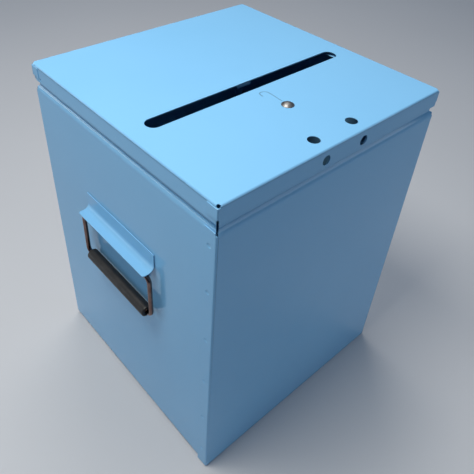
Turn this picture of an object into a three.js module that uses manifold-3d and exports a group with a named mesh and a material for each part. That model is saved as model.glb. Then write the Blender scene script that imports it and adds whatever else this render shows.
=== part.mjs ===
// A folded sheet-steel donation box: a five-sided body of three spot-welded sheets, a hinged lid with
// a paper slot, a sliding shutter with its catch below the slot, and a drop handle on each side.
// Millimetres. +X is right, -Y is front, +Z is up. The origin is the centre of the base's underside.
import * as THREE from 'three';
import { mergeVertices } from 'three/addons/utils/BufferGeometryUtils.js';
import Module from 'manifold-3d';

const wasm = await Module();
wasm.setup();

// ---- Box and sheets ----
const WIDTH = 300;
const DEPTH = 297;
const HEIGHT = 400;
const SHEET = 1;
const FIT = 0.3;                 // gap between sheets that lie on each other
const RUNNING = 0.1;             // radial clearance where something turns
const BEND = 1.75;               // outer radius of the small bends
const BASE_BEND = 3;             // outer radius between the side walls and the base
const BEND_STEPS = 4;
const THROUGH = 20;              // length of a tool that cuts through a sheet
const ROUND_SIDES = 32;
const SMALL_SIDES = 16;          // on pins and knuckles

// ---- Body ----
const RETURN_WIDTH = 15;         // flanges of the front and rear sheets
const LEDGE_Z = 375;             // root of the upstands, at the head of the shoulder round the mouth
const SHOULDER_SLOPE = (5 * Math.PI) / 18;
const SHOULDER_BEND = 12;       // outer radius between a wall and its shoulder
const SHOULDER_ROOT = 1;         // outer radius between a shoulder and its upstand
const LID_REST = 0.5;            // gap between the upstands and the lid they carry
const UPSTAND_TOP = HEIGHT - SHEET - LID_REST;
const SIDE_WALL = WIDTH / 2 - SHEET - FIT;
const END_WALL = DEPTH / 2;
const SIDE_UPSTAND = 146.2;      // outer face of the upstand on each side, from the centre
const FRONT_UPSTAND = 145.5;
const REAR_UPSTAND = 143.2;
const CORNER_SLIT = 0.5;
const WRAP_FOOT = SHEET + FIT;   // the wrap's base lies on the base flanges of the front and rear sheets
const FRONT_RETURN = { foot: 0, top: LEDGE_Z - 2.5 };                // lapped over the side walls
const REAR_CHEEK = SIDE_WALL - SHEET - FIT;        // the rear sheet's flanges stand inside the side walls
const REAR_RETURN = { foot: WRAP_FOOT + BASE_BEND + FIT, top: LEDGE_Z - 8 };

// ---- Lid ----
const LID_FLANGE = 19;
const LID_BEND = 2;
const LID_SKIRT_Z = HEIGHT - LID_FLANGE;
const CORNER_SEAM_OPEN = 4.8;    // height of the open slit at the foot of each corner seam
const CORNER_LEG = 5;
const REAR_CUT = 6;              // the side flanges are cut away at the rear, to clear the body
const SLOT = { length: 255, width: 16.5, y: -25.8 };
const TOP_SEAL_HOLE = { radius: 6, x: 26, y: -131.5 };
const FRONT_SEAL_HOLE = { radius: 5, x: 26, z: 387.5 };
const UPSTAND_SEAL_HOLE = { ...FRONT_SEAL_HOLE, radius: 8, z: 386 };

// ---- Hinge, inside the gap between the ledge and the lid ----
const PIN = { y: 146, z: 378, radius: 1.2, head: 1.9, headLength: 1 };
const KNUCKLE = { radius: 2.5, pitch: 20, count: 13, gap: 0.4 };
const LEAF_FOOT = PIN.z + KNUCKLE.radius + 0.7;
const LEAF_TOP = 395;
const BODY_LEAF_Y = REAR_UPSTAND + FIT;
const LID_LEAF_Y = END_WALL - SHEET - FIT - SHEET;

// ---- Shutter below the slot ----
const SHUTTER = { half: 133, front: -14.4, rear: 8.8, z: 396 };
const TAB = { width: 18.4, foot: 393.6, bend: 1.5, root: 5 };
const GUIDE = { foot: -36.5, head: 12, lip: 127, web: 134.5, flange: 142, lipZ: 394.5, bend: 1.25 };

// ---- Catch that hooks behind the shutter's tab ----
const RIVET = { y: -75.8, shank: 2.5, head: 6.4, dome: 2.6, tail: 4.5, tailHeight: 1.5 };
const CATCH = { z: 394.1, thickness: 1.5, hub: 7, armWidth: 5, inner: 42, outer: 46.6 };
const CATCH_ARM_ANGLE = 71.6;    // from +X, with the catch engaged
const CATCH_TIP_ANGLE = 92.5;
const CATCH_SWING = 60;          // turned aside at rest
const SPACER_RADIUS = 5;

// ---- Drop handles ----
const HOOD = { length: 122, top: 282, z: 260.8, reach: 14.5, bend: 8 };
const BAIL = { offWall: 8, wire: 2.5, half: 62, top: 254.5, foot: 199, bend: 7, endGap: 0.5 };
const WIRE_SIDES = 16;
const CORNER_STEPS = 6;
const GRIP = { radius: 6.75, length: 110, edge: 1.5, edgeSteps: 4 };
const STRAP = { y: 44, width: 14, wall: 1.1, foot: 244, top: 258.2, webHeight: 2 };

// ---- Finishes ----
const paint = { color: 0x8fc4e6, roughness: 0.3, metalness: 0.0 };
const paintOutside = () => new THREE.MeshStandardMaterial(paint);
const chrome = () => new THREE.MeshStandardMaterial({ color: 0xd8dadc, roughness: 0.12, metalness: 1 });
const zinc = () => new THREE.MeshStandardMaterial({ color: 0x9a9893, roughness: 0.35, metalness: 1 });
const rubber = () => new THREE.MeshStandardMaterial({ color: 0x1b1b1d, roughness: 0.6, metalness: 0 });

const radians = THREE.MathUtils.degToRad;
const xAxis = new THREE.Vector3(1, 0, 0);
const yAxis = new THREE.Vector3(0, 1, 0);
const zAxis = new THREE.Vector3(0, 0, 1);

// Where an extruded outline's own axes go: its x, its y, and its length.
const ALONG_X = new THREE.Matrix4().makeBasis(yAxis, zAxis, xAxis);
const ALONG_Y = new THREE.Matrix4().makeBasis(xAxis, zAxis, yAxis.clone().negate());
const ALONG_Z = new THREE.Matrix4();

// ---- Solids ----
function toSolid(geometry) {
  const bare = geometry.clone();
  bare.deleteAttribute('normal');
  bare.deleteAttribute('uv');
  const merged = mergeVertices(bare, 1e-4);
  return new wasm.Manifold(new wasm.Mesh({
    numProp: 3,
    vertProperties: new Float32Array(merged.attributes.position.array),
    triVerts: new Uint32Array(merged.index.array),
  }));
}

function toGeometry(solid) {
  const { vertProperties, triVerts } = solid.getMesh();
  const geometry = new THREE.BufferGeometry();
  geometry.setAttribute('position', new THREE.BufferAttribute(new Float32Array(vertProperties), 3));
  geometry.setIndex(new THREE.BufferAttribute(new Uint32Array(triVerts), 1));
  geometry.computeVertexNormals();
  return geometry;
}

function join(geometries) {
  return geometries.map(toSolid).reduce((whole, part) => whole.add(part));
}

function cut(solid, geometries) {
  return geometries.map(toSolid).reduce((whole, tool) => whole.subtract(tool), solid);
}

function box(xMin, xMax, yMin, yMax, zMin, zMax) {
  const geometry = new THREE.BoxGeometry(xMax - xMin, yMax - yMin, zMax - zMin);
  return geometry.translate((xMin + xMax) / 2, (yMin + yMax) / 2, (zMin + zMax) / 2);
}

// An outline extruded along one axis, centred on it.
function extrude(shape, length, along, curveSegments = ROUND_SIDES / 2) {
  const options = { depth: length, bevelEnabled: false, curveSegments };
  const geometry = new THREE.ExtrudeGeometry(shape, options);
  return geometry.translate(0, 0, -length / 2).applyMatrix4(along);
}

function rod(radius, length, along, sides = ROUND_SIDES) {
  const outline = new THREE.Shape().absarc(0, 0, radius, 0, 2 * Math.PI);
  return extrude(outline, length, along, sides);
}

// A profile of [radius, height] points turned about the Z axis.
function turned(profile, sides = ROUND_SIDES) {
  return new THREE.LatheGeometry(profile.map(([r, z]) => new THREE.Vector2(r, z)), sides).rotateX(Math.PI / 2);
}

// The cross-section of a folded sheet. Its middle line runs through the corners [u, v, outer bend radius].
function foldedSheet(corners) {
  const points = corners.map(([u, v]) => new THREE.Vector2(u, v));
  const left = [];
  const right = [];
  const station = (point, normal) => {
    left.push(point.clone().addScaledVector(normal, SHEET / 2));
    right.push(point.clone().addScaledVector(normal, -SHEET / 2));
  };
  const direction = (i) => points[i + 1].clone().sub(points[i]).normalize();
  const normalOf = (d) => new THREE.Vector2(-d.y, d.x);
  station(points[0], normalOf(direction(0)));
  for (let i = 1; i < points.length - 1; i++) {
    const before = direction(i - 1);
    const after = direction(i);
    const turn = Math.atan2(before.cross(after), before.dot(after));
    const side = Math.sign(turn);
    const radius = corners[i][2] - SHEET / 2;
    const start = points[i].clone().addScaledVector(before, -radius * Math.tan(Math.abs(turn) / 2));
    const centre = start.clone().addScaledVector(normalOf(before), radius * side);
    for (let step = 0; step <= BEND_STEPS; step++) {
      const normal = normalOf(before).rotateAround(new THREE.Vector2(), (turn * step) / BEND_STEPS);
      station(centre.clone().addScaledVector(normal, -radius * side), normal);
    }
  }
  const last = points.length - 1;
  station(points[last], normalOf(direction(last - 1)));
  return new THREE.Shape([...left, ...right.reverse()]);
}

function part(name, solidOrGeometry, material) {
  const isGeometry = solidOrGeometry.isBufferGeometry;
  const mesh = new THREE.Mesh(isGeometry ? solidOrGeometry : toGeometry(solidOrGeometry), material);
  mesh.name = name;
  return mesh;
}

// ---- Body ----
const middle = (outerFace) => outerFace - SHEET / 2;

const SHOULDER_ROOT_Z = LEDGE_Z - FIT;

// Where the planes of a wall and its shoulder meet.
function shoulderFoot(upstand, wall) {
  return SHOULDER_ROOT_Z - Math.abs(wall - upstand) * Math.tan(SHOULDER_SLOPE);
}

// Where a wall starts to bend in.
function shoulderStart(upstand, wall) {
  const halfTurn = (Math.PI / 2 - SHOULDER_SLOPE) / 2;
  return shoulderFoot(upstand, wall) - middle(SHOULDER_BEND) * Math.tan(halfTurn);
}

// The middle line's corners from an upstand's top edge, down the shoulder and on to the wall.
function shoulder(upstand, wall) {
  const root = [upstand, SHOULDER_ROOT_Z, SHOULDER_ROOT];
  return [[upstand, UPSTAND_TOP], root, [wall, shoulderFoot(upstand, wall), SHOULDER_BEND]];
}

// Left wall, base and right wall in one sheet, with a shoulder and an upstand round the mouth.
function sideWrap() {
  const wall = middle(SIDE_WALL);
  const rightHalf = [...shoulder(middle(SIDE_UPSTAND), wall), [wall, WRAP_FOOT + SHEET / 2, BASE_BEND]];
  const leftHalf = rightHalf.map(([x, z, bend]) => [-x, z, bend]).reverse();
  const reach = END_WALL - SHEET - FIT;
  const rearEdge = (side) => box(side * wall - SHEET / 2, side * wall + SHEET / 2, reach - SHEET, END_WALL,
    REAR_RETURN.foot, REAR_RETURN.top);
  const sheet = join([
    extrude(foldedSheet([...rightHalf, ...leftHalf]), 2 * reach, ALONG_Y),
    rearEdge(-1),
    rearEdge(1),
  ]);
  return part('side_wrap', sheet, paintOutside());
}

// The front or rear sheet: its wall, side flanges with their outer faces at cheekFace, a base flange
// below the wrap, a shoulder and an upstand.
function endPanel(name, side, upstandFace, cheekFace, flanges, holes) {
  const wall = side * middle(END_WALL);
  const returnEdge = side * (END_WALL - RETURN_WIDTH);
  const edgeLength = 2 * (SIDE_UPSTAND - SHEET - CORNER_SLIT);
  const upright = foldedSheet([
    ...shoulder(side * middle(upstandFace), wall),
    [wall, SHEET / 2, BEND],
    [returnEdge, SHEET / 2],
  ]);
  const cheek = middle(cheekFace);
  const plan = foldedSheet([[-cheek, returnEdge], [-cheek, wall, BEND], [cheek, wall, BEND], [cheek, returnEdge]]);
  const planFoot = Math.max(BEND, flanges.foot);
  const planLength = Math.min(flanges.top, shoulderStart(middle(upstandFace), middle(END_WALL))) - planFoot;
  const bendEdge = side * (END_WALL - BEND);
  const flange = (x) => box(x - SHEET / 2, x + SHEET / 2, Math.min(bendEdge, returnEdge),
    Math.max(bendEdge, returnEdge), flanges.foot, flanges.top);
  const sheet = join([
    extrude(upright, edgeLength, ALONG_X),
    extrude(plan, planLength, ALONG_Z).translate(0, 0, planFoot + planLength / 2),
    flange(-cheek),
    flange(cheek),
  ]);
  return part(name, cut(sheet, holes), paintOutside());
}

function frontSealHoles(hole, y) {
  return [-1, 1].map((side) => rod(hole.radius, THROUGH / 4, ALONG_Y).translate(side * hole.x, y, hole.z));
}

// ---- Lid ----
function lidCorner(xSide, ySide) {
  const x = xSide * middle(WIDTH / 2);
  const y = ySide * middle(DEPTH / 2);
  const plan = foldedSheet([[x, y - ySide * CORNER_LEG], [x, y, LID_BEND], [x - xSide * CORNER_LEG, y]]);
  const foot = LID_SKIRT_Z + CORNER_SEAM_OPEN;
  const length = HEIGHT - LID_BEND - foot;
  return extrude(plan, length, ALONG_Z).translate(0, 0, foot + length / 2);
}

function rearCut(xSide) {
  const wedge = new THREE.Shape([
    new THREE.Vector2(END_WALL - REAR_CUT, LID_SKIRT_Z - 1),
    new THREE.Vector2(END_WALL + 1, LID_SKIRT_Z - 1),
    new THREE.Vector2(END_WALL + 1, LID_SKIRT_Z + LID_FLANGE / 2),
  ]);
  return extrude(wedge, 2 * SHEET, ALONG_X).translate(xSide * (WIDTH / 2), 0, 0);
}

function paperSlot() {
  const radius = SLOT.width / 2;
  const reach = SLOT.length / 2 - radius;
  const outline = new THREE.Shape();
  outline.absarc(reach, SLOT.y, radius, -Math.PI / 2, Math.PI / 2);
  outline.absarc(-reach, SLOT.y, radius, Math.PI / 2, (3 * Math.PI) / 2);
  return extrude(outline, THROUGH, ALONG_Z).translate(0, 0, HEIGHT);
}

function lidTray() {
  const side = middle(WIDTH / 2);
  const end = middle(DEPTH / 2);
  const top = middle(HEIGHT);
  const arch = (reach) => foldedSheet([
    [-reach, LID_SKIRT_Z],
    [-reach, top, LID_BEND],
    [reach, top, LID_BEND],
    [reach, LID_SKIRT_Z],
  ]);
  const tray = join([
    extrude(arch(side), DEPTH - 2 * LID_BEND, ALONG_Y),
    extrude(arch(end), WIDTH - 2 * LID_BEND, ALONG_X),
    lidCorner(-1, -1),
    lidCorner(1, -1),
    lidCorner(-1, 1),
    lidCorner(1, 1),
  ]);
  const sealHole = (x) => rod(TOP_SEAL_HOLE.radius, THROUGH, ALONG_Z).translate(x, TOP_SEAL_HOLE.y, HEIGHT);
  const cuts = [
    paperSlot(),
    sealHole(-TOP_SEAL_HOLE.x),
    sealHole(TOP_SEAL_HOLE.x),
    rod(RIVET.shank + FIT, THROUGH, ALONG_Z).translate(0, RIVET.y, HEIGHT),
    ...frontSealHoles(FRONT_SEAL_HOLE, -DEPTH / 2),
    rearCut(-1),
    rearCut(1),
  ];
  return part('lid_tray', cut(tray, cuts), paintOutside());
}

// ---- Hinge ----
// One leaf with every second knuckle: the body's leaf has the first and the last.
function hingeLeaf(name, leafY, first) {
  const length = KNUCKLE.pitch * KNUCKLE.count;
  const knuckles = [];
  for (let i = first; i < KNUCKLE.count; i += 2) {
    const x = (i - (KNUCKLE.count - 1) / 2) * KNUCKLE.pitch;
    const half = (KNUCKLE.pitch - KNUCKLE.gap) / 2;
    knuckles.push(rod(KNUCKLE.radius, 2 * half, ALONG_X, SMALL_SIDES).translate(x, PIN.y, PIN.z));
    knuckles.push(box(x - half, x + half, leafY, leafY + SHEET, PIN.z, LEAF_FOOT + SHEET));
  }
  const plate = box(-length / 2, length / 2, leafY, leafY + SHEET, LEAF_FOOT, LEAF_TOP);
  const bore = rod(PIN.radius + RUNNING, length + THROUGH, ALONG_X, SMALL_SIDES).translate(0, PIN.y, PIN.z);
  return part(name, cut(join([plate, ...knuckles]), [bore]), paintOutside());
}

function hingePin() {
  const half = (KNUCKLE.pitch * KNUCKLE.count) / 2;
  const head = (side) => rod(PIN.head, PIN.headLength, ALONG_X, SMALL_SIDES)
    .translate(side * (half + PIN.headLength / 2), 0, 0);
  const shank = rod(PIN.radius, 2 * half + PIN.headLength, ALONG_X, SMALL_SIDES);
  const pin = join([shank, head(-1), head(1)]);
  return part('hinge_pin', pin.translate([0, PIN.y, PIN.z]), zinc());
}

// ---- Shutter ----
function slotShutter() {
  const plateMiddle = SHUTTER.z + SHEET / 2;
  const tabFace = SHUTTER.front - SHEET / 2;
  const tab = foldedSheet([
    [SHUTTER.front + TAB.root, plateMiddle],
    [tabFace, plateMiddle, TAB.bend],
    [tabFace, TAB.foot],
  ]);
  const shutter = join([
    box(-SHUTTER.half, SHUTTER.half, SHUTTER.front, SHUTTER.rear, SHUTTER.z, SHUTTER.z + SHEET),
    extrude(tab, TAB.width, ALONG_X),
  ]);
  return part('slot_shutter', shutter, paintOutside());
}

function shutterGuide(name, side) {
  const flangeZ = HEIGHT - SHEET - FIT - SHEET / 2;
  const lipZ = GUIDE.lipZ + SHEET / 2;
  const section = foldedSheet([
    [side * GUIDE.flange, flangeZ],
    [side * GUIDE.web, flangeZ, GUIDE.bend],
    [side * GUIDE.web, lipZ, GUIDE.bend],
    [side * GUIDE.lip, lipZ],
  ]);
  const guide = extrude(section, GUIDE.head - GUIDE.foot, ALONG_Y);
  return part(name, guide.translate(0, (GUIDE.head + GUIDE.foot) / 2, 0), paintOutside());
}

// ---- Catch ----
function catchRivet() {
  const tailFoot = CATCH.z - FIT - RIVET.tailHeight;
  const seat = HEIGHT + FIT;
  const domeRadius = (RIVET.head ** 2 + RIVET.dome ** 2) / (2 * RIVET.dome);
  const domeCentre = seat + RIVET.dome - domeRadius;
  const profile = [
    [0, tailFoot],
    [RIVET.tail, tailFoot],
    [RIVET.tail, tailFoot + RIVET.tailHeight],
    [RIVET.shank, tailFoot + RIVET.tailHeight],
    [RIVET.shank, seat],
  ];
  const edgeAngle = Math.asin(RIVET.head / domeRadius);
  for (let step = 0; step < CORNER_STEPS; step++) {
    const angle = edgeAngle * (1 - step / CORNER_STEPS);
    profile.push([domeRadius * Math.sin(angle), domeCentre + domeRadius * Math.cos(angle)]);
  }
  profile.push([0, seat + RIVET.dome]);
  return part('catch_rivet', turned(profile).translate(0, RIVET.y, 0), zinc());
}

function catchSpacer() {
  const foot = CATCH.z + CATCH.thickness + FIT;
  const bore = RIVET.shank + RUNNING;
  const head = HEIGHT - SHEET - FIT;
  const ring = [[bore, foot], [SPACER_RADIUS, foot], [SPACER_RADIUS, head], [bore, head], [bore, foot]];
  return part('catch_spacer', turned(ring).translate(0, RIVET.y, 0), zinc());
}

// A lever with a crook that is concentric with its pivot, so it swings in behind the shutter's tab.
function catchLever() {
  const crook = new THREE.Shape();
  const armEdge = Math.asin(CATCH.armWidth / 2 / CATCH.inner);
  const from = radians(CATCH_ARM_ANGLE) - armEdge;
  const to = radians(CATCH_TIP_ANGLE);
  crook.absarc(0, 0, CATCH.outer, from, to, false);
  crook.absarc(0, 0, CATCH.inner, to, from, true);
  const armLength = (CATCH.inner + CATCH.outer) / 2;
  const arm = box(0, armLength, -CATCH.armWidth / 2, CATCH.armWidth / 2, -CATCH.thickness / 2, CATCH.thickness / 2);
  const lever = join([
    rod(CATCH.hub, CATCH.thickness, ALONG_Z),
    arm.rotateZ(radians(CATCH_ARM_ANGLE)),
    extrude(crook, CATCH.thickness, ALONG_Z),
  ]);
  const mesh = part('catch_lever', cut(lever, [rod(RIVET.shank + RUNNING, THROUGH, ALONG_Z)]), zinc());
  mesh.position.set(0, RIVET.y, CATCH.z + CATCH.thickness / 2);
  mesh.rotation.z = -radians(CATCH_SWING);
  return mesh;
}

// ---- Handles ----
// Bent wire: one station at each end of a straight, and a few round each corner.
class BentWire extends THREE.Curve {
  constructor(corners, bend) {
    super();
    this.stations = [];
    const directions = corners.slice(1).map((corner, i) => corner.clone().sub(corners[i]).normalize());
    this.stations.push({ point: corners[0], tangent: directions[0] });
    directions.slice(1).forEach((after, i) => {
      const before = directions[i];
      const start = corners[i + 1].clone().addScaledVector(before, -bend);
      const centre = start.clone().addScaledVector(after, bend);
      for (let step = 0; step <= CORNER_STEPS; step++) {
        const angle = (Math.PI / 2) * (step / CORNER_STEPS);
        const point = centre.clone().addScaledVector(after, -bend * Math.cos(angle));
        point.addScaledVector(before, bend * Math.sin(angle));
        const tangent = before.clone().multiplyScalar(Math.cos(angle)).addScaledVector(after, Math.sin(angle));
        this.stations.push({ point, tangent });
      }
    });
    this.stations.push({ point: corners[corners.length - 1], tangent: directions[directions.length - 1] });
  }

  get steps() {
    return this.stations.length - 1;
  }

  stationAt(u) {
    return this.stations[Math.round(u * this.steps)];
  }

  getPointAt(u) {
    return this.stationAt(u).point.clone();
  }

  getTangentAt(u) {
    return this.stationAt(u).tangent.clone();
  }
}

// Where the wire's axis lies, across the box.
const bailPlane = (side) => side * (SIDE_WALL + BAIL.offWall);

function handleBail(name, side) {
  const x = bailPlane(side);
  const corner = (y, z) => new THREE.Vector3(x, y, z);
  const path = new BentWire([
    corner(BAIL.endGap / 2, BAIL.top),
    corner(BAIL.half, BAIL.top),
    corner(BAIL.half, BAIL.foot),
    corner(-BAIL.half, BAIL.foot),
    corner(-BAIL.half, BAIL.top),
    corner(-BAIL.endGap / 2, BAIL.top),
  ], BAIL.bend);
  const section = new THREE.Shape().absarc(0, 0, BAIL.wire, 0, 2 * Math.PI);
  const options = { steps: path.steps, extrudePath: path, curveSegments: WIRE_SIDES / 2, bevelEnabled: false };
  return part(name, toSolid(new THREE.ExtrudeGeometry(section, options)), chrome());
}

function handleGrip(name, side) {
  const bore = BAIL.wire + RUNNING;
  const half = GRIP.length / 2;
  const round = (end) => Array.from({ length: GRIP.edgeSteps + 1 }, (_, step) => {
    const angle = (Math.PI / 2) * (end > 0 ? step / GRIP.edgeSteps : 1 - step / GRIP.edgeSteps);
    const radius = GRIP.radius - GRIP.edge + GRIP.edge * Math.cos(angle);
    return [radius, end * (half - GRIP.edge + GRIP.edge * Math.sin(angle))];
  });
  const profile = [[bore, -half], ...round(-1), ...round(1), [bore, half], [bore, -half]];
  const grip = turned(profile).rotateX(Math.PI / 2).translate(bailPlane(side), 0, BAIL.foot);
  return part(name, grip, rubber());
}

// The folded hood over the handle's top bar.
function handleHood(name, side) {
  const legX = side * (SIDE_WALL + FIT + SHEET / 2);
  const brimZ = HOOD.z - SHEET / 2;
  const section = foldedSheet([
    [legX, HOOD.top],
    [legX, brimZ, HOOD.bend],
    [side * (SIDE_WALL + HOOD.reach), brimZ],
  ]);
  return part(name, extrude(section, HOOD.length, ALONG_Y), paintOutside());
}

// A strap welded to the wall, with an eye that the top bar turns in.
function handleStrap(name, side, y) {
  const eye = BAIL.wire + RUNNING;
  const x = bailPlane(side);
  const face = SIDE_WALL + FIT;
  const across = (near, far, zMin, zMax) => box(Math.min(side * near, side * far), Math.max(side * near, side * far),
    y - STRAP.width / 2, y + STRAP.width / 2, zMin, zMax);
  const webHalf = STRAP.webHeight / 2;
  const strap = join([
    rod(eye + STRAP.wall, STRAP.width, ALONG_Y).translate(x, y, BAIL.top),
    across(face, face + SHEET, STRAP.foot, STRAP.top),
    across(face, SIDE_WALL + BAIL.offWall - eye - STRAP.wall / 2, BAIL.top - webHalf, BAIL.top + webHalf),
  ]);
  const opening = rod(eye, STRAP.width + THROUGH, ALONG_Y).translate(x, y, BAIL.top);
  return part(name, cut(strap, [opening]), paintOutside());
}

// ---- Assembly ----
const donationBox = new THREE.Group();

const body = new THREE.Group();
body.add(sideWrap());
body.add(endPanel('front_panel', -1, FRONT_UPSTAND, WIDTH / 2, FRONT_RETURN,
  frontSealHoles(UPSTAND_SEAL_HOLE, -FRONT_UPSTAND)));
body.add(endPanel('rear_panel', 1, REAR_UPSTAND, REAR_CHEEK, REAR_RETURN, []));
body.add(hingeLeaf('hinge_leaf_body', BODY_LEAF_Y, 0));
body.add(hingePin());

const lid = new THREE.Group();
lid.add(lidTray());
lid.add(hingeLeaf('hinge_leaf_lid', LID_LEAF_Y, 1));
lid.add(slotShutter());
lid.add(shutterGuide('shutter_guide_left', -1));
lid.add(shutterGuide('shutter_guide_right', 1));
lid.add(catchRivet());
lid.add(catchSpacer());
lid.add(catchLever());

const handles = new THREE.Group();
for (const [label, side] of [['left', -1], ['right', 1]]) {
  handles.add(handleHood(`handle_hood_${label}`, side));
  handles.add(handleBail(`handle_bail_${label}`, side));
  handles.add(handleGrip(`handle_grip_${label}`, side));
  handles.add(handleStrap(`handle_strap_${label}_front`, side, -STRAP.y));
  handles.add(handleStrap(`handle_strap_${label}_rear`, side, STRAP.y));
}

donationBox.add(body, lid, handles);

export default donationBox;
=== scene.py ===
"""A light-blue folded sheet-steel donation box: lid with a shuttered slot and seal holes, drop handles."""

import math

import bmesh
import bpy
from mathutils import Matrix, Vector


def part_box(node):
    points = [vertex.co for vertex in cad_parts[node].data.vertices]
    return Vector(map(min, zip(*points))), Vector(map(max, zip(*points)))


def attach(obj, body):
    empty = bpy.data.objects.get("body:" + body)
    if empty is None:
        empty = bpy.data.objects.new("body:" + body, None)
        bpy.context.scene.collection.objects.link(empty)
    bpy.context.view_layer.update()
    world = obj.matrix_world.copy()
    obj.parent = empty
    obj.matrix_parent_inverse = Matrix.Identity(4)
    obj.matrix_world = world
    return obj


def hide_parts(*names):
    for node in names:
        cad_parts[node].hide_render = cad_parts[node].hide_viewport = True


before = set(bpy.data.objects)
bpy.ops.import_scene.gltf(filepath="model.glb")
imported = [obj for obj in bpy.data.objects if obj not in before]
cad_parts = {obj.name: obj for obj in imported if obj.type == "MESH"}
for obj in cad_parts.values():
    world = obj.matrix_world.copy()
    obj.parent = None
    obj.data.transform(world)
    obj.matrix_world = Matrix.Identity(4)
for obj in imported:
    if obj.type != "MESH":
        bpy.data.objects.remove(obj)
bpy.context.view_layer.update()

MM = 0.001                       # sizes below are in millimetres, and meshes are scaled to metres


def box_mm(node):
    low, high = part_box(node)
    return low / MM, high / MM


lid_low, lid_high = box_mm("lid_tray")
panel_low, panel_high = box_mm("front_panel")
rear_low, rear_high = box_mm("rear_panel")
wrap_low, wrap_high = box_mm("side_wrap")

SHEET = 1.0
WIDE = lid_high.x                # half the width
DEEP = lid_high.y                # half the depth
TOP = lid_high.z
SKIRT = lid_low.z                # lower edge of the lid's flanges
SIDE_WALL = wrap_high.x
UPSTAND_TOP = wrap_high.z
LEDGE = 375.0                    # root of the upstands, at the head of the shoulder round the mouth
SHOULDER_SLOPE = math.radians(50)
SHOULDER_BEND = 12.0
SHOULDER_ROOT = 1.0
RETURN_TOP = LEDGE - 2.5
BEND = 1.75
BASE_BEND = 3.0
SIDE_UPSTAND = 146.2
FRONT_UPSTAND = 145.5
REAR_UPSTAND = 143.2
BEND_STEPS = 7
SOFT_EDGE = 0.22                 # paint rounds every cut edge by this much
SEAL_X = 26.0
SLOT_LENGTH = 255.0
SLOT_WIDTH = 16.5
SLOT_Y = -25.8
RIVET_Y = -75.8


# ---- Camera ----
CAMERA_AT = Vector((-0.3546, -0.3709, 0.6558))
AZIMUTH = 43.20                  # from +Y towards +X
ELEVATION = 38.32                # below the horizon
ROLL = 3.13
LENS = 41.55
SHIFT = (0.0288, -0.1006)

camera = bpy.data.objects.new("camera", bpy.data.cameras.new("camera"))
bpy.context.scene.collection.objects.link(camera)
camera.data.sensor_width = 36.0
camera.data.lens = LENS
camera.data.shift_x, camera.data.shift_y = SHIFT
camera.data.clip_start = 0.01
camera.matrix_world = (
    Matrix.Translation(CAMERA_AT)
    @ Matrix.Rotation(-math.radians(AZIMUTH), 4, "Z")
    @ Matrix.Rotation(math.radians(90 - ELEVATION), 4, "X")
    @ Matrix.Rotation(math.radians(ROLL), 4, "Z")
)
bpy.context.scene.camera = camera


# ---- Node helpers ----
class Paint:
    """A Principled material and short calls for the nodes that feed it."""

    def __init__(self, name, **settings):
        self.material = bpy.data.materials.new(name)
        self.material.use_nodes = True
        self.tree = self.material.node_tree
        self.shader = self.tree.nodes["Principled BSDF"]
        for socket, value in settings.items():
            self.shader.inputs[socket.replace("_", " ")].default_value = value
        self.where = self.tree.nodes.new("ShaderNodeTexCoord").outputs["Object"]

    def node(self, kind, **inputs):
        made = self.tree.nodes.new(kind)
        for socket, value in inputs.items():
            self.feed(made, socket.replace("_", " "), value)
        return made

    def feed(self, node, socket, value):
        if isinstance(value, bpy.types.NodeSocket):
            self.tree.links.new(value, node.inputs[socket])
        else:
            node.inputs[socket].default_value = value

    def noise(self, scale, detail=2.0, roughness=0.5):
        made = self.node("ShaderNodeTexNoise", Vector=self.where, Scale=scale,
                         Detail=detail, Roughness=roughness)
        return made.outputs["Fac"]

    def ramp(self, factor, stops):
        made = self.node("ShaderNodeValToRGB", Fac=factor)
        elements = made.color_ramp.elements
        while len(elements) < len(stops):
            elements.new(0.5)
        for element, (position, colour) in zip(elements, stops):
            element.position = position
            element.color = (*colour, 1)
        return made.outputs["Color"]

    def spread(self, factor, low, high, start=0.0, end=1.0):
        made = self.node("ShaderNodeMapRange", Value=factor, From_Min=start, From_Max=end,
                         To_Min=low, To_Max=high)
        return made.outputs["Result"]

    def bump(self, heights):
        """Stacked bumps, coarse first: (height, distance in metres, strength)."""
        normal = None
        for height, distance, strength in heights:
            made = self.node("ShaderNodeBump", Height=height, Distance=distance, Strength=strength)
            if normal:
                self.tree.links.new(normal, made.inputs["Normal"])
            normal = made.outputs["Normal"]
        self.tree.links.new(normal, self.shader.inputs["Normal"])

    def set(self, socket, value):
        self.feed(self.shader, socket, value)


# ---- Materials ----
def powder_coat():
    """Glossy light-blue powder coat: orange peel, slight tone drift, a few smudges and dust specks."""
    paint = Paint("powder_coat_blue", IOR=1.5, Specular_IOR_Level=0.30)
    drift = paint.noise(5.0, 3.0, 0.55)
    body = paint.ramp(drift, [(0.30, (0.198, 0.466, 0.735)), (0.70, (0.212, 0.486, 0.758))])
    specks = paint.noise(1500.0, 2.0, 0.6)
    mask = paint.spread(specks, 0.0, 0.30, 0.74, 0.80)
    dusty = paint.node("ShaderNodeMix")
    dusty.data_type = "RGBA"
    paint.feed(dusty, 0, mask)
    paint.tree.links.new(body, dusty.inputs[6])
    dusty.inputs[7].default_value = (0.36, 0.60, 0.80, 1)
    paint.set("Base Color", dusty.outputs[2])
    smudge = paint.noise(16.0, 4.0, 0.6)
    paint.set("Roughness", paint.spread(smudge, 0.075, 0.125, 0.30, 0.72))
    paint.bump([
        (paint.noise(6.0, 1.0, 0.4), 0.0008, 0.25),
        (paint.noise(520.0, 2.0, 0.5), 0.000018, 0.20),
    ])
    return paint.material


def scored_shade():
    """The scribed line's floor: the groove and its rougher floor are real, and its dark navy colour is
    painted shade in the groove.
    """
    paint = Paint("scored_coat_painted_shade", Roughness=0.62)
    grain = paint.noise(900.0, 3.0)
    # dark navy ramp: painted shade in the scored groove, with a fine grain
    paint.set("Base Color", paint.ramp(grain, [(0.3, (0.018, 0.055, 0.095)), (0.7, (0.045, 0.115, 0.180))]))
    paint.bump([(grain, 0.00008, 0.6)])
    return paint.material


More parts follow.
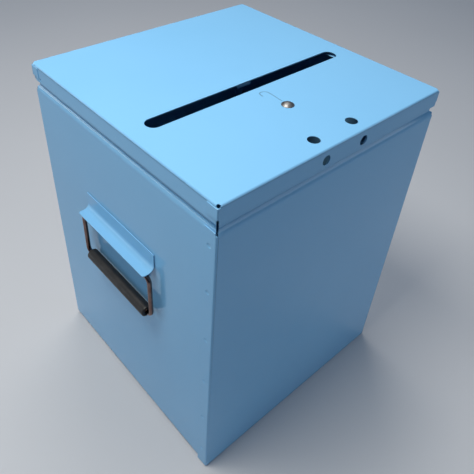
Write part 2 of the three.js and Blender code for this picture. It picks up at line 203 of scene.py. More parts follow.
def chrome():
    """Plated wire: its base colour is darkened to a reddish brown as a painted reflection of dark
    surroundings, with fine drawing lines and a few dull freckles.
    """
    paint = Paint("chrome_plate", Metallic=1.0)
    tone = paint.noise(60.0, 3.0, 0.6)
    # the ramp's dark reddish-brown colours are a painted reflection of a dark room, not the plating's own
    # colour; the noise only varies them
    paint.set("Base Color", paint.ramp(tone, [(0.3, (0.115, 0.060, 0.050)), (0.7, (0.22, 0.155, 0.140))]))
    freckles = paint.noise(700.0, 2.0, 0.6)
    paint.set("Roughness", paint.spread(freckles, 0.06, 0.16, 0.45, 0.80))
    paint.bump([(paint.noise(380.0, 2.0, 0.5), 0.00002, 0.3)])
    return paint.material


def zinc_plate():
    """Dull plated steel of the rivet, the catch and the hinge pin."""
    paint = Paint("zinc_plate", Metallic=1.0)
    blotch = paint.noise(180.0, 4.0, 0.65)
    paint.set("Base Color", paint.ramp(blotch, [(0.3, (0.18, 0.17, 0.165)), (0.7, (0.31, 0.30, 0.29))]))
    paint.set("Roughness", paint.spread(paint.noise(900.0, 2.0), 0.40, 0.55, 0.3, 0.7))
    paint.bump([(blotch, 0.00006, 0.25), (paint.noise(1500.0, 2.0), 0.00001, 0.4)])
    return paint.material


def moulded_rubber():
    """Black moulded grip: satin skin with a fine grain and a little dust."""
    paint = Paint("moulded_rubber", IOR=1.48, Specular_IOR_Level=0.45)
    dust = paint.noise(130.0, 4.0, 0.65)
    paint.set("Base Color", paint.ramp(dust, [(0.35, (0.0095, 0.0092, 0.0092)),
                                              (0.8, (0.026, 0.024, 0.022))]))
    paint.set("Roughness", paint.spread(paint.noise(45.0, 3.0), 0.40, 0.56, 0.3, 0.7))
    paint.bump([(paint.noise(1400.0, 2.0, 0.6), 0.00005, 0.5)])
    return paint.material


def pale_floor():
    """Plain pale studio floor."""
    paint = Paint("pale_floor", Roughness=0.7)
    tone = paint.noise(1.5, 2.0)
    paint.set("Base Color", paint.ramp(tone, [(0.3, (0.535, 0.540, 0.555)), (0.7, (0.555, 0.560, 0.575))]))
    paint.bump([(paint.noise(220.0, 2.0), 0.0001, 0.15)])
    return paint.material


BLUE = powder_coat()
SCORED_SHADE = scored_shade()
CHROME = chrome()
ZINC = zinc_plate()
RUBBER = moulded_rubber()


# ---- Mesh helpers; every function here works in millimetres until a piece is finished ----
def along_x(u, v, w):
    return (w, u, v)


def along_y(u, v, w):
    return (u, w, v)


def along_z(u, v, w):
    return (u, v, w)


def add_object(name, bm):
    bmesh.ops.recalc_face_normals(bm, faces=bm.faces)
    mesh = bpy.data.meshes.new(name)
    bm.to_mesh(mesh)
    bm.free()
    made = bpy.data.objects.new(name, mesh)
    bpy.context.scene.collection.objects.link(made)
    return made


def evaluated(piece):
    """Applies the piece's modifiers."""
    bpy.context.view_layer.update()
    graph = bpy.context.evaluated_depsgraph_get()
    mesh = bpy.data.meshes.new_from_object(piece.evaluated_get(graph))
    piece.modifiers.clear()
    piece.data = mesh
    return piece


def boolean(piece, tools, operation):
    for tool in tools:
        step = piece.modifiers.new("cut", "BOOLEAN")
        step.operation = operation
        step.solver = "EXACT"
        step.object = tool
    evaluated(piece)
    for tool in tools:
        bpy.data.objects.remove(tool)
    return piece


def cut(piece, tools):
    return boolean(piece, tools, "DIFFERENCE")


def join(piece, others):
    return boolean(piece, others, "UNION")


def soften(piece, width=SOFT_EDGE, segments=2, angle=40):
    step = piece.modifiers.new("soft edges", "BEVEL")
    step.width = width
    step.segments = segments
    step.limit_method = "ANGLE"
    step.angle_limit = math.radians(angle)
    step.use_clamp_overlap = False
    step.harden_normals = False
    return evaluated(piece)


def keep_inside(piece, limit):
    """Brings back the corner points that a bevel threw past the outer faces."""
    for vertex in piece.data.vertices:
        vertex.co = [max(-far, min(far, value)) for value, far in zip(vertex.co, limit)]


def finish_piece(piece, body, material, nodes, extra=()):
    """Scales to metres, shades smooth, hands the piece to its body and hides the CAD nodes it replaces."""
    piece.data.transform(Matrix.Scale(MM, 4))
    piece.data.materials.clear()
    piece.data.materials.append(material)
    for more in extra:
        piece.data.materials.append(more)
    piece.data.polygons.foreach_set("use_smooth", [True] * len(piece.data.polygons))
    piece.modifiers.new("even shading", "WEIGHTED_NORMAL").weight = 80
    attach(piece, body)
    if nodes:
        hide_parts(*nodes)
    return piece


def folded_faces(corners, sheet=SHEET, steps=BEND_STEPS):
    """Both faces of a folded sheet's section, from corners (u, v, outer bend radius) on its middle line."""
    points = [Vector(corner[:2]) for corner in corners]
    headings = [(b - a).normalized() for a, b in zip(points, points[1:])]
    left, right = [], []

    def normal_of(direction):
        return Vector((-direction.y, direction.x))

    def station(point, normal):
        left.append(point + normal * sheet / 2)
        right.append(point - normal * sheet / 2)

    station(points[0], normal_of(headings[0]))
    for before, after, corner, point in zip(headings, headings[1:], corners[1:], points[1:]):
        turn = math.atan2(before.cross(after), before.dot(after))
        side = math.copysign(1, turn)
        radius = corner[2] - sheet / 2
        start = point - before * radius * math.tan(abs(turn) / 2)
        centre = start + normal_of(before) * radius * side
        for step in range(steps + 1):
            normal = Matrix.Rotation(turn * step / steps, 2) @ normal_of(before)
            station(centre - normal * radius * side, normal)
    station(points[-1], normal_of(headings[-1]))
    return left, right


def folded_sheet(name, corners, span, place, sheet=SHEET, steps=BEND_STEPS):
    """A folded sheet extruded along one axis; span(u, v) gives both ends of the line through a point."""
    left, right = folded_faces(corners, sheet, steps)
    bm = bmesh.new()
    rows = []
    for a, b in zip(left, right):
        row = [bm.verts.new(place(p.x, p.y, w)) for p in (a, b) for w in span(p.x, p.y)]
        rows.append(row)
    for (a0, a1, b0, b1), (c0, c1, d0, d1) in zip(rows, rows[1:]):
        for quad in ((a0, a1, c1, c0), (b1, b0, d0, d1), (a0, c0, d0, b0), (a1, b1, d1, c1)):
            bm.faces.new(quad)
    for a0, a1, b0, b1 in (rows[0], rows[-1]):
        bm.faces.new((a0, b0, b1, a1))
    return add_object(name, bm)


def even(half):
    return lambda u, v: (-half, half)


def block(name, low, high, rounds=None, radius=0.0, segments=6):
    """A box whose edges are rounded where rounds(edge's middle) says so."""
    bm = bmesh.new()
    bmesh.ops.create_cube(bm, size=1.0)
    low, high = Vector(low), Vector(high)
    for vert in bm.verts:
        vert.co = Vector(b if c > 0 else a for a, b, c in zip(low, high, vert.co))
    if rounds:
        chosen = [e for e in bm.edges if rounds((e.verts[0].co + e.verts[1].co) / 2)]
        bmesh.ops.bevel(bm, geom=chosen, offset=radius, segments=segments, profile=0.5,
                        affect="EDGES", clamp_overlap=False)
    return add_object(name, bm)


def rod(name, centre, radius, length, place, sides=64):
    """A closed cylinder along one axis; centre is in place's own order (u, v, w)."""
    bm = bmesh.new()
    rings = []
    for end in (-0.5, 0.5):
        ring = []
        for step in range(sides):
            angle = 2 * math.pi * step / sides
            ring.append(bm.verts.new(place(centre[0] + radius * math.cos(angle),
                                           centre[1] + radius * math.sin(angle),
                                           centre[2] + end * length)))
        rings.append(ring)
    for step in range(sides):
        after = (step + 1) % sides
        bm.faces.new((rings[0][step], rings[0][after], rings[1][after], rings[1][step]))
    for ring in rings:
        bm.faces.new(ring)
    return add_object(name, bm)


def ball(name, centre, radius):
    bm = bmesh.new()
    bmesh.ops.create_icosphere(bm, subdivisions=4, radius=radius, matrix=Matrix.Translation(centre))
    return add_object(name, bm)


def turned(name, profile, place, centre, sides=64):
    """A solid turned from (radius, height) points that start and end on its axis, or close on themselves."""
    closed = profile[0] == profile[-1]
    bm = bmesh.new()
    rings = []
    for radius, height in profile[:-1] if closed else profile:
        if radius == 0:
            rings.append([bm.verts.new(place(centre[0], centre[1], centre[2] + height))])
            continue
        ring = []
        for step in range(sides):
            angle = 2 * math.pi * step / sides
            ring.append(bm.verts.new(place(centre[0] + radius * math.cos(angle),
                                           centre[1] + radius * math.sin(angle),
                                           centre[2] + height)))
        rings.append(ring)
    if closed:
        rings.append(rings[0])
    for a, b in zip(rings, rings[1:]):
        for step in range(sides):
            after = (step + 1) % sides
            quad = [a[step % len(a)], a[after % len(a)], b[after % len(b)], b[step % len(b)]]
            bm.faces.new(list(dict.fromkeys(quad)))
    return add_object(name, bm)


def tube(name, points, radius, sides=16):
    """A round wire through points, with flat ends; neighbouring points are close round a bend."""
    bm = bmesh.new()
    points = [Vector(p) for p in points]
    rings = []
    across = None
    for i, point in enumerate(points):
        heading = (points[min(i + 1, len(points) - 1)] - points[max(i - 1, 0)]).normalized()
        if across is None:
            across = heading.orthogonal().normalized()
        across = (across - heading * across.dot(heading)).normalized()
        other = heading.cross(across)
        rings.append([
            bm.verts.new(point + (across * math.cos(a) + other * math.sin(a)) * radius)
            for a in (2 * math.pi * step / sides for step in range(sides))
        ])
    for a, b in zip(rings, rings[1:]):
        for step in range(sides):
            after = (step + 1) % sides
            bm.faces.new((a[step], a[after], b[after], b[step]))
    bm.faces.new(rings[0])
    bm.faces.new(rings[-1])
    return add_object(name, bm)


def smooth_line(points, per_span=8):
    """Catmull-Rom points through the given ones."""
    points = [Vector(p) for p in points]
    padded = [2 * points[0] - points[1], *points, 2 * points[-1] - points[-2]]
    line = []
    for a, b, c, d in zip(padded, padded[1:], padded[2:], padded[3:]):
        for step in range(per_span):
            t = step / per_span
            line.append(0.5 * (2 * b + (c - a) * t + (2 * a - 5 * b + 4 * c - d) * t * t
                               + (3 * b - a - 3 * c + d) * t ** 3))
    line.append(points[-1])
    return line


def rounded_path(corners, bend, steps=12):
    """Points along straight wire with a round bend at each inner corner."""
    corners = [Vector(c) for c in corners]
    line = [corners[0]]
    for a, b, c in zip(corners, corners[1:], corners[2:]):
        before, after = (b - a).normalized(), (c - b).normalized()
        centre = b - before * bend + after * bend
        for step in range(steps + 1):
            angle = math.pi / 2 * step / steps
            line.append(centre - after * bend * math.cos(angle) + before * bend * math.sin(angle))
    line.append(corners[-1])
    return line


# ---- Spot welds ----
WELD_DISH = [(0, -0.60), (0.8, -0.57), (1.5, -0.48), (2.1, -0.32), (2.5, -0.12), (2.7, 0.0),
             (2.9, 0.3), (0, 0.3)]


def weld_marks(points, axis, sign):
    """Dished tools that press a round weld mark into a face at each point; sign is the face's way out."""
    place = {"x": along_x, "y": along_y, "z": along_z}[axis]
    marks = []
    for point in points:
        at = {"x": (point[1], point[2], point[0]), "y": (point[0], point[2], point[1]), "z": point}[axis]
        dish = [(radius, sign * height) for radius, height in WELD_DISH]
        marks.append(turned("weld", dish, place, at, 24))
    return marks


SEAM_WELD_IN = 8.5               # from the corner, on each lapped flange
SEAM_WELDS_Z = (33, 100, 167, 234, 300, 355)
BASE_WELDS_X = (-120, -60, 0, 60, 120)


# ---- Body ----
LEDGE_SLIT = 1.5                 # the open corner between the side's ledge and the end's


def diagonal_slit(name, side_x, side_y, width, reach, low, high):
    """A knife standing on the corner's diagonal, width thick and reaching reach inwards."""
    bm = bmesh.new()
    corner = Vector((side_x * WIDE, side_y * DEEP, (low + high) / 2))
    turn = Matrix.Rotation(-math.radians(45) * side_x * side_y, 4, "Z")
    size = Matrix.Diagonal((width, 2 * reach, high - low, 1))
    bmesh.ops.create_cube(bm, size=1.0, matrix=Matrix.Translation(corner) @ turn @ size)
    return add_object(name, bm)


def ledge_slit(side_x, side_y):
    return diagonal_slit("ledge slit", side_x, side_y, LEDGE_SLIT, 8, RETURN_TOP + 0.8, UPSTAND_TOP + 5)


MITRE_START = 1.0                # the ledges and upstands are mitred from this depth inwards
SIDE_END = 146.6                 # half lengths of the sheets round the mouth
FRONT_END = 148.1
REAR_END = 145.2
REAR_FOOT = 4.6                  # the rear sheet's flanges stand inside the side walls, over the base's bend
REAR_TOP = 367.0
CORNER_RISE = 2.8                # the front sheet's folded corners stand above the start of its shoulder
SHOULDER_ROOT_Z = LEDGE - 0.3
UPSTAND_HOLE = 8.0               # radius of the seal holes behind the lid's front flange
UPSTAND_HOLE_Z = 386.0


def shoulder(upstand, wall):
    """From an upstand's top edge, down the rounded shoulder and on to the wall."""
    foot = SHOULDER_ROOT_Z - abs(wall - upstand) * math.tan(SHOULDER_SLOPE)
    return [(upstand, UPSTAND_TOP), (upstand, SHOULDER_ROOT_Z, SHOULDER_ROOT), (wall, foot, SHOULDER_BEND)]


def shoulder_start(upstand, wall):
    """The height where a wall starts to bend in."""
    foot = shoulder(upstand, wall)[-1][1]
    return foot - (SHOULDER_BEND - SHEET / 2) * math.tan((math.pi / 2 - SHOULDER_SLOPE) / 2)


def make_side_wrap():
    wall = SIDE_WALL - SHEET / 2
    base = wrap_low.z + SHEET / 2
    right = [*shoulder(SIDE_UPSTAND - SHEET / 2, wall), (wall, base, BASE_BEND)]
    left = [(-c[0], *c[1:]) for c in reversed(right)]

    def span(x, z):
        depth = SIDE_WALL - abs(x) if z > REAR_TOP else 0
        end = SIDE_END - max(0, depth - MITRE_START)
        on_wall = abs(x) > SIDE_WALL - SHEET - 0.01 and REAR_FOOT - 0.4 < z < REAR_TOP + 0.9
        return -end, DEEP if on_wall else end

    piece = folded_sheet("side_wrap_sheet", right + left, span, along_y)
    cut(piece, [ledge_slit(x, y) for x in (-1, 1) for y in (-1, 1)])
    soften(piece)
    return finish_piece(piece, "body", BLUE, ["side_wrap"])


def make_end_panel(name, node, side, upstand_face, holes):
    wall = side * (DEEP - SHEET / 2)
    front = side < 0
    edge = panel_high.y if front else rear_low.y
    cheek = (WIDE if front else rear_high.x) - SHEET / 2
    foot, top = (0, RETURN_TOP) if front else (REAR_FOOT, REAR_TOP)
    upstand = side * (upstand_face - SHEET / 2)
    wall_top = shoulder_start(upstand, wall)
    upright = [*shoulder(upstand, wall), (wall, SHEET / 2, BEND), (edge, SHEET / 2)]
    plan = [(-cheek, edge), (-cheek, wall, BEND), (cheek, wall, BEND), (cheek, edge)]

    def upright_span(y, z):
        depth = DEEP - abs(y) if z > REAR_TOP else 0
        end = min(FRONT_END, SIDE_WALL - depth) if front else REAR_END - max(0, depth - MITRE_START)
        return -end, end

    def plan_span(x, y):
        if abs(y) < DEEP - BEND - 0.01:
            return foot, top
        on_wall = abs(x) < cheek + SHEET / 2 - BEND + 0.01
        on_flange = abs(y) < DEEP - BEND + 0.01
        return max(foot, BEND), wall_top if on_wall else top if on_flange else wall_top + CORNER_RISE

    piece = folded_sheet(name, upright, upright_span, along_x)
    join(piece, [folded_sheet("plan", plan, plan_span, along_z)])
    if holes:
        cut(piece, [rod("hole", (x, holes, -FRONT_UPSTAND), UPSTAND_HOLE, 5, along_y)
                    for x in (-SEAL_X, SEAL_X)])
    cut(piece, [ledge_slit(x, side) for x in (-1, 1)])
    soften(piece)
    keep_inside(piece, (WIDE, DEEP, TOP))
    weld_y = side * (DEEP - SEAM_WELD_IN)
    welds = weld_marks([(x, weld_y, 0) for x in BASE_WELDS_X], "z", -1)
    if front:
        welds += [mark for out in (1, -1)
                  for mark in weld_marks([(out * WIDE, weld_y, z) for z in SEAM_WELDS_Z], "x", out)]
    cut(piece, welds)
    return finish_piece(piece, "body", BLUE, [node])


make_side_wrap()
make_end_panel("front_sheet", "front_panel", -1, FRONT_UPSTAND, UPSTAND_HOLE_Z)
make_end_panel("rear_sheet", "rear_panel", 1, REAR_UPSTAND, None)


# ---- Lid ----
LID_BEND = 2.0
TAB_SHEET = 0.7
TAB_LAP = 0.02                   # tabs sink this far into the flange below them, so that they join
TAB_LENGTH = 13.0
TAB_FOOT = SKIRT + 5.0
TAB_TOP = TOP - 2.8
TAB_BEND = 1.5
SLIT = 2.1
RELIEF = 2.05                    # radius of the hole where the lid's bends meet
TOP_HOLE = 6.0                   # radii of the seal holes, the rivet's hole and the coating hooks' holes
TOP_HOLE_Y = -131.5
FRONT_HOLE = 5.0
FRONT_HOLE_Z = 387.5
RIVET_HOLE = 2.8
HANG_HOLE = 1.3
HANG_IN = 15.0                   # from the rear, and from the flange's lower edge
HANG_UP = 4.0
REAR_CUT = 6.0
SCRIBE_RADIUS = 0.50
SCRIBE_SINK = 0.17               # depth of the scribed line


def corner_tab(side_x, side_y):
    """The end flanges' tab, lapped round the corner over the side flange."""
    x = side_x * (WIDE - TAB_SHEET / 2)
    y = side_y * (DEEP - TAB_LAP - TAB_SHEET / 2)
    plan = [(x, side_y * (DEEP - TAB_LENGTH)), (x, y, TAB_BEND), (x - side_x * 5, y)]
    return folded_sheet("tab", plan, lambda u, v: (TAB_FOOT, TAB_TOP), along_z, TAB_SHEET)


def corner_slit(side_x, side_y):
    return diagonal_slit("slit", side_x, side_y, SLIT, 4, SKIRT - 2, TAB_FOOT)


def rear_cut(side_x):
    """Takes the side flange's lower rear corner away, so that the lid clears the body as it opens."""
    outline = [(DEEP - REAR_CUT, SKIRT - 1), (DEEP - 0.9, SKIRT - 1), (DEEP - 0.9, SKIRT + 9)]
    bm = bmesh.new()
    ends = [[bm.verts.new((side_x * x, y, z)) for y, z in outline] for x in (WIDE - 2, WIDE + 1)]
    for i in range(3):
        after = (i + 1) % 3
        bm.faces.new((ends[0][i], ends[0][after], ends[1][after], ends[1][i]))
    bm.faces.new(ends[0])
    bm.faces.new(ends[1])
    return add_object("rear cut", bm)


def slot_tool():
    bm = bmesh.new()
    radius = SLOT_WIDTH / 2
    reach = SLOT_LENGTH / 2 - radius
    outline = []
    for side in (1, -1):
        for step in range(25):
            angle = math.pi * (step / 24 - 0.5)
            outline.append((side * (reach + radius * math.cos(angle)),
                            SLOT_Y + side * radius * math.sin(angle)))
    ends = [[bm.verts.new((x, y, z)) for x, y in outline] for z in (TOP - 10, TOP + 10)]
    count = len(outline)
    for i in range(count):
        after = (i + 1) % count
        bm.faces.new((ends[0][i], ends[0][after], ends[1][after], ends[1][i]))
    bm.faces.new(ends[0])
    bm.faces.new(ends[1])
    return add_object("slot", bm)


def scribed_hook():
    """A walking-stick line scored into the coat, from the rivet towards the slot."""
    route = [(0.9, -67.5), (1.5, -60.0), (2.2, -53.0), (2.3, -47.6), (0.9, -44.3), (-1.9, -42.9),
             (-4.9, -43.0), (-7.0, -45.4), (-7.4, -50.0)]
    height = TOP + SCRIBE_RADIUS - SCRIBE_SINK
    return tube("scribe", smooth_line([(x, y, height) for x, y in route], 5), SCRIBE_RADIUS, 10)


def make_lid():
    side = WIDE - TAB_SHEET + TAB_LAP
    lid = block("lid_sheet", (-side, -DEEP, SKIRT), (side, DEEP, TOP),
                lambda middle: middle.z > SKIRT + 1, LID_BEND)
    inner = Vector((side - SHEET, DEEP - SHEET, TOP - SHEET))
    hollow = block("hollow", (-inner.x, -inner.y, SKIRT - 20), inner,
                   lambda middle: middle.z > SKIRT - 19, LID_BEND - SHEET)
    cut(lid, [hollow])
    corners = [(x, y) for x in (-1, 1) for y in (-1, 1)]
    join(lid, [corner_tab(x, y) for x, y in corners])
    through_top = [rod("hole", (x, TOP_HOLE_Y, TOP), TOP_HOLE, 20, along_z) for x in (-SEAL_X, SEAL_X)]
    through_top.append(rod("hole", (0, RIVET_Y, TOP), RIVET_HOLE, 20, along_z, 32))
    front = [rod("hole", (x, FRONT_HOLE_Z, -DEEP), FRONT_HOLE, 4.5, along_y) for x in (-SEAL_X, SEAL_X)]
    hang = [rod("hole", (DEEP - HANG_IN, SKIRT + HANG_UP, x * WIDE), HANG_HOLE, 6, along_x, 24)
            for x in (-1, 1)]
    relief = [ball("relief", (x * (WIDE - 1.5), y * (DEEP - 1.4), TOP - 0.9), RELIEF)
              for x, y in corners]
    slits = [corner_slit(x, y) for x, y in corners]
    cut(lid, [slot_tool(), *through_top, *front, *hang, *relief, *slits, rear_cut(-1), rear_cut(1)])
    soften(lid)
    keep_inside(lid, (WIDE, DEEP, TOP))
    line = scribed_hook()
    for sheet in (lid, line):
        sheet.data.materials.append(BLUE)
        sheet.data.materials.append(SCORED_SHADE)
    line.data.polygons.foreach_set("material_index", [1] * len(line.data.polygons))
    cut(lid, [line])
    scored = [polygon.material_index for polygon in lid.data.polygons]
    finish_piece(lid, "lid", BLUE, ["lid_tray"], [SCORED_SHADE])
    lid.data.polygons.foreach_set("material_index", scored)
    return lid


make_lid()


# ---- Rivet, spacer and catch ----
SPACER_BORE = 2.6
CATCH_ARM = 11.6                 # degrees from +X to the arm, and to the crook's tip
CATCH_TIP = 32.5
CATCH_HUB = 7.0
CATCH_HALF = 2.5                 # half the arm's width
CATCH_REACH = 44.3
CROOK = (42.0, 46.6)             # inner and outer radius about the rivet


def make_rivet():
    low, high = box_mm("catch_rivet")
    seat = TOP + 0.05
    rise = high.z - seat
    radius = high.x
    dome = (radius ** 2 + rise ** 2) / (2 * rise)  # the head's own radius of curvature
    tail = 4.5
    shank = 2.5
    tail_top = low.z + 1.5
    profile = [(0, low.z), (tail - 0.4, low.z), (tail, low.z + 0.4), (tail, tail_top), (shank, tail_top),
               (shank, seat), (radius - 0.25, seat), (radius - 0.05, seat + 0.15), (radius, seat + 0.40)]
    edge = math.asin(radius / dome)
    steps = 14
    for step in range(2, steps):
        angle = edge * (1 - step / steps)
        profile.append((dome * math.sin(angle), seat + rise - dome + dome * math.cos(angle)))
    profile.append((0, seat + rise))
    piece = turned("rivet", profile, along_z, (0, RIVET_Y, 0))
    return finish_piece(piece, "lid", ZINC, ["catch_rivet"])


def make_spacer():
    low, high = box_mm("catch_spacer")
    radius = high.x
    soft = 0.3
    profile = [(SPACER_BORE, low.z), (radius - soft, low.z), (radius, low.z + soft),
               (radius, high.z - soft), (radius - soft, high.z), (SPACER_BORE, high.z),
               (SPACER_BORE, low.z)]
    piece = turned("spacer", profile, along_z, (0, RIVET_Y, 0), 48)
    return finish_piece(piece, "lid", ZINC, ["catch_spacer"])


def make_catch():
    low, high = box_mm("catch_lever")
    thick = high.z - low.z
    middle = (low.z + high.z) / 2
    piece = rod("catch_hook", (0, RIVET_Y, middle), CATCH_HUB, thick, along_z)
    arm = block("arm", (0, -CATCH_HALF, -thick / 2), (CATCH_REACH, CATCH_HALF, thick / 2))
    turn = Matrix.Rotation(math.radians(CATCH_ARM), 4, "Z")
    arm.data.transform(Matrix.Translation((0, RIVET_Y, middle)) @ turn)
    start = CATCH_ARM - math.degrees(math.asin(CATCH_HALF / CROOK[0]))
    steps = 16
    bm = bmesh.new()
    rows = []
    for step in range(steps + 1):
        angle = math.radians(start + (CATCH_TIP - start) * step / steps)
        rows.append([
            bm.verts.new((r * math.cos(angle), RIVET_Y + r * math.sin(angle), z))
            for r in CROOK for z in (low.z, high.z)
        ])
    for a, b in zip(rows, rows[1:]):
        for i, j in ((0, 1), (1, 3), (3, 2), (2, 0)):
            bm.faces.new((a[i], a[j], b[j], b[i]))
    for row in (rows[0], rows[-1]):
        bm.faces.new((row[0], row[1], row[3], row[2]))
    join(piece, [arm, add_object("crook", bm)])
    cut(piece, [rod("bore", (0, RIVET_Y, middle), SPACER_BORE, 10, along_z, 48)])
    soften(piece)
    return finish_piece(piece, "catch", ZINC, ["catch_lever"])


make_rivet()
make_spacer()
make_catch()


# ---- Shutter and its guides ----
TAB_HALF = 9.2
SHUTTER_CORNER = 3.0
GUIDE_WEB = 134.5
GUIDE_BEND = 1.25
GUIDE_WELD = 138.6
GUIDE_WELD_IN = 8.0


def make_shutter():
    low, high = box_mm("slot_shutter")
    front = low.y + SHEET
    middle_z = high.z - SHEET / 2

    def upright_corner(middle):
        at_end = abs(middle.x) > high.x - 1 and abs(middle.y - (front + high.y) / 2) > 5
        return at_end and abs(middle.z - middle_z) < 0.1

    plate = block("shutter_plate", (low.x, front, high.z - SHEET), tuple(high),
                  upright_corner, SHUTTER_CORNER)
    bend = [(front + 5, middle_z), (low.y + SHEET / 2, middle_z, 1.5), (low.y + SHEET / 2, low.z)]
    join(plate, [folded_sheet("tab", bend, even(TAB_HALF), along_x)])
    soften(plate)
    return finish_piece(plate, "shutter", BLUE, ["slot_shutter"])


def make_guide(name, node, side):
    low, high = box_mm(node)
    flange_edge = max(abs(low.x), abs(high.x))
    lip_edge = min(abs(low.x), abs(high.x))
    top, foot = high.z - SHEET / 2, low.z + SHEET / 2
    corners = [(side * flange_edge, top), (side * GUIDE_WEB, top, GUIDE_BEND),
               (side * GUIDE_WEB, foot, GUIDE_BEND), (side * lip_edge, foot)]
    piece = folded_sheet(name, corners, lambda u, v: (low.y, high.y), along_y)
    soften(piece)
    weld_rows = (low.y + GUIDE_WELD_IN, high.y - GUIDE_WELD_IN)
    cut(piece, weld_marks([(side * GUIDE_WELD, y, high.z - SHEET) for y in weld_rows], "z", -1))
    return finish_piece(piece, "lid", BLUE, [node])


make_shutter()
make_guide("guide_left", "shutter_guide_left", -1)
make_guide("guide_right", "shutter_guide_right", 1)


# ---- Hinge ----
PIN_Y = 146.0
PIN_Z = 378.0
KNUCKLE_RADIUS = 2.5
KNUCKLE_PITCH = 20.0
KNUCKLE_GAP = 0.4
KNUCKLES = 13
LEAF_FOOT = PIN_Z + KNUCKLE_RADIUS + 0.7
PIN_BORE = 1.3
PIN_RADIUS = 1.2
PIN_HEAD = 1.9


def make_leaf(name, node, body, first):
    low, high = box_mm(node)
    leaf_low = low.y if body == "body" else PIN_Y + 0.2
    half = KNUCKLE_PITCH * KNUCKLES / 2
    leaf = block(name, (-half, leaf_low, LEAF_FOOT), (half, leaf_low + SHEET, high.z))
    parts = []
    for i in range(first, KNUCKLES, 2):
        x = (i - (KNUCKLES - 1) / 2) * KNUCKLE_PITCH
        reach = (KNUCKLE_PITCH - KNUCKLE_GAP) / 2
        parts.append(rod("knuckle", (PIN_Y, PIN_Z, x), KNUCKLE_RADIUS, 2 * reach, along_x, 40))
        parts.append(block("neck", (x - reach, leaf_low, PIN_Z),
                           (x + reach, leaf_low + SHEET, LEAF_FOOT + 1)))
    join(leaf, parts)
    cut(leaf, [rod("bore", (PIN_Y, PIN_Z, 0), PIN_BORE, 2 * half + 20, along_x, 32)])
    soften(leaf, 0.15)
    return finish_piece(leaf, body, BLUE, [node])


def make_pin():
    low, high = box_mm("hinge_pin")
    half = high.x
    crown = PIN_HEAD - 0.4
    head = [(0, half), (crown, half), (PIN_HEAD, half - 0.35), (PIN_HEAD, half - 1), (PIN_RADIUS, half - 1)]
    profile = [(radius, -x) for radius, x in head] + head[::-1]
    piece = turned("pin", profile, along_x, (PIN_Y, PIN_Z, 0), 32)
    return finish_piece(piece, "body", ZINC, ["hinge_pin"])


make_leaf("leaf_on_body", "hinge_leaf_body", "body", 0)
make_leaf("leaf_on_lid", "hinge_leaf_lid", "lid", 1)
make_pin()


# ---- Handles ----
WIRE = 2.5                       # radius
BORE = WIRE + 0.1                # radius of the grip's bore and of the straps' eyes
BAR_Z = 254.5
BAIL_BEND = 7.0
HOOD_BEND = 8.0
HOOD_CLIP = 2.5                  # the brim's clipped corners
GRIP_EDGE = 1.7
EYE_WALL = 1.1


def make_handle(label, side):
    bail_low, bail_high = box_mm(f"handle_bail_{label}")
    x = (bail_low.x + bail_high.x) / 2
    half = bail_high.y - WIRE
    foot = bail_low.z + WIRE
    corners = [(x, 0.25, BAR_Z), (x, half, BAR_Z), (x, half, foot), (x, -half, foot), (x, -half, BAR_Z),
               (x, -0.25, BAR_Z)]
    bail = tube(f"bail_{label}", rounded_path(corners, BAIL_BEND), WIRE, 32)
    finish_piece(bail, f"handle_{label}", CHROME, [f"handle_bail_{label}"])
    make_grip(label, x, foot)
    make_hood(label, side)
    for end in ("front", "rear"):
        make_strap(label, end, side, x)


def make_grip(label, x, z):
    low, high = box_mm(f"handle_grip_{label}")
    flat = high.z - z - GRIP_EDGE
    straight = high.y - GRIP_EDGE
    quarter = [math.pi / 2 * step / 6 for step in range(7)]
    rounded = [(flat + GRIP_EDGE * math.cos(a), straight + GRIP_EDGE * math.sin(a)) for a in quarter]
    profile = [(BORE, -high.y), *((radius, -y) for radius, y in rounded[::-1]), *rounded,
               (BORE, high.y), (BORE, -high.y)]
    grip = turned(f"grip_{label}", profile, along_y, (x, z, 0), 72)
    return finish_piece(grip, f"handle_{label}", RUBBER, [f"handle_grip_{label}"])


def make_hood(label, side):
    node = f"handle_hood_{label}"
    low, high = box_mm(node)
    near = min(abs(low.x), abs(high.x))
    far = max(abs(low.x), abs(high.x))
    leg = side * (near + SHEET / 2)
    brim = low.z + SHEET / 2

    def span(x, z):
        past = max(0, abs(x) - (far - HOOD_CLIP))
        end = high.y - past * 0.6
        return -end, end

    corners = [(leg, high.z), (leg, brim, HOOD_BEND), (side * (far - HOOD_CLIP), brim, 0.51),
               (side * far, brim)]
    hood = folded_sheet(f"hood_{label}", corners, span, along_y, steps=12)
    soften(hood)
    return finish_piece(hood, "body", BLUE, [node])


def make_strap(label, end, side, x):
    node = f"handle_strap_{label}_{end}"
    low, high = box_mm(node)
    y = (low.y + high.y) / 2
    length = high.y - low.y
    strap = rod(f"strap_{label}_{end}", (x, BAR_Z, y), BORE + EYE_WALL, length, along_y, 48)
    wall = min(abs(low.x), abs(high.x))
    foot = sorted((side * wall, side * (wall + SHEET)))
    web = sorted((side * (wall + 0.1), side * (abs(x) - BORE - 0.5)))
    parts = [
        block("foot", (foot[0], low.y, low.z), (foot[1], high.y, high.z)),
        block("web", (web[0], low.y + 0.01, BAR_Z - 1), (web[1], high.y - 0.01, BAR_Z + 1)),
    ]
    join(strap, parts)
    cut(strap, [rod("eye", (x, BAR_Z, y), BORE, length + 10, along_y, 48)])
    soften(strap, 0.15)
    return finish_piece(strap, "body", BLUE, [node])


make_handle("left", -1)
make_handle("right", 1)


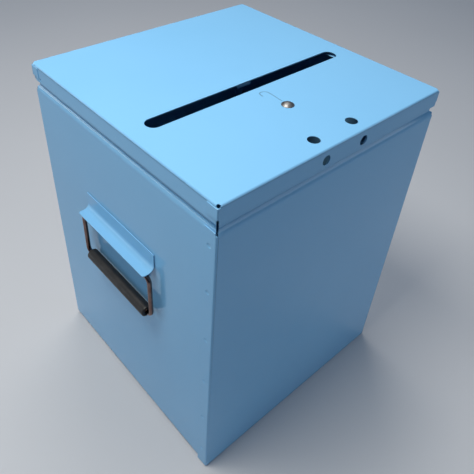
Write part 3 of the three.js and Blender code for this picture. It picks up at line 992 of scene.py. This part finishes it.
# ---- Floor and light ----
FLOOR_DROP = -0.0004             # metres, so that the base is not in the floor's own plane


def make_floor():
    bm = bmesh.new()
    bmesh.ops.create_grid(bm, x_segments=1, y_segments=1, size=6.0)
    bmesh.ops.translate(bm, verts=bm.verts, vec=(0, 0, FLOOR_DROP))
    floor = add_object("floor", bm)
    floor.data.materials.append(pale_floor())


def softbox(name, place, aim, size, power, colour):
    light = bpy.data.lights.new(name, "AREA")
    light.shape = "RECTANGLE"
    light.size, light.size_y = size
    light.energy = power
    light.color = colour
    lamp = bpy.data.objects.new(name, light)
    bpy.context.scene.collection.objects.link(lamp)
    lamp.location = place
    lamp.rotation_euler = (Vector(aim) - Vector(place)).to_track_quat("-Z", "Y").to_euler()


def studio_world():
    """A dim surround, bluer and lighter overhead."""
    world = bpy.data.worlds.new("studio")
    world.use_nodes = True
    nodes, links = world.node_tree.nodes, world.node_tree.links
    direction = nodes.new("ShaderNodeTexCoord")
    height = nodes.new("ShaderNodeSeparateXYZ")
    tint = nodes.new("ShaderNodeValToRGB")
    links.new(direction.outputs["Generated"], height.inputs[0])
    links.new(height.outputs["Z"], tint.inputs["Fac"])
    links.new(tint.outputs["Color"], nodes["Background"].inputs["Color"])
    horizon, overhead = tint.color_ramp.elements
    horizon.color = (0.030, 0.037, 0.058, 1)
    overhead.color = (0.17, 0.24, 0.34, 1)
    return world


make_floor()
softbox("key", (-0.40, 0.06, 1.30), (0, 0, 0.3), (0.50, 0.42), 10.9, (1.0, 0.97, 0.90))
softbox("front_strip", (1.15, -1.70, 0.62), (0, -0.15, 0.37), (1.3, 0.75), 5.2, (0.84, 0.94, 1.0))
softbox("side_strip", (-1.55, 1.40, 0.45), (-0.15, 0, 0.37), (1.2, 0.45), 6.2, (0.94, 0.98, 1.0))
softbox("back", (0.45, 0.70, 2.1), (0.7, 1.0, 0), (0.8, 0.8), 14.5, (1.0, 0.98, 0.95))
bpy.context.scene.world = studio_world()
bpy.context.scene.view_settings.view_transform = "Standard"
